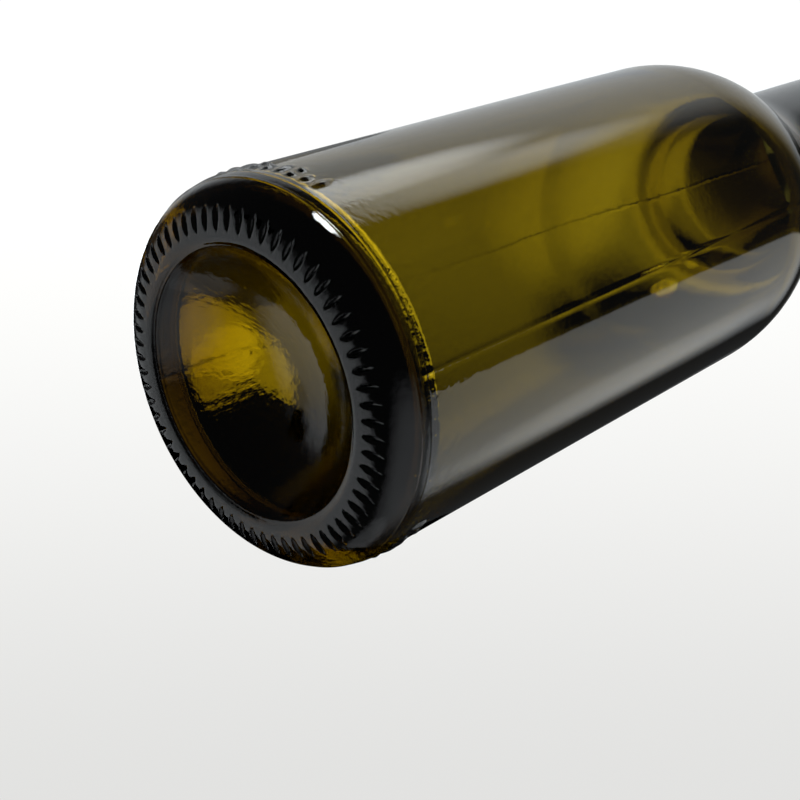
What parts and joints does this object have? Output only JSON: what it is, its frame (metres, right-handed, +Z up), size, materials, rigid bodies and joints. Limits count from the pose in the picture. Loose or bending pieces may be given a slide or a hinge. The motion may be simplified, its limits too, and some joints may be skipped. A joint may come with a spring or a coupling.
{
  "type": "wine bottle",
  "caption": "Small empty wine bottle of clear olive-green glass: straight round body, round shoulder, short neck with a banded mouth, domed punt and a notched heel to stand on.",
  "frame": {"origin": "centre of the base, in the plane of the bearing ring that the bottle stands on", "axes": "+Z up the bottle's axis to the mouth; X and Y are alike, as the shape is turned"},
  "size_m": [0.051, 0.051, 0.175],
  "materials": {
    "green_glass": "clear olive-green bottle glass, glossy, with fine mould seams, a faint waviness and a few seed bubbles"
  },
  "bodies": {
    "root": {"bottle": "green_glass"}
  },
  "joints": []
}
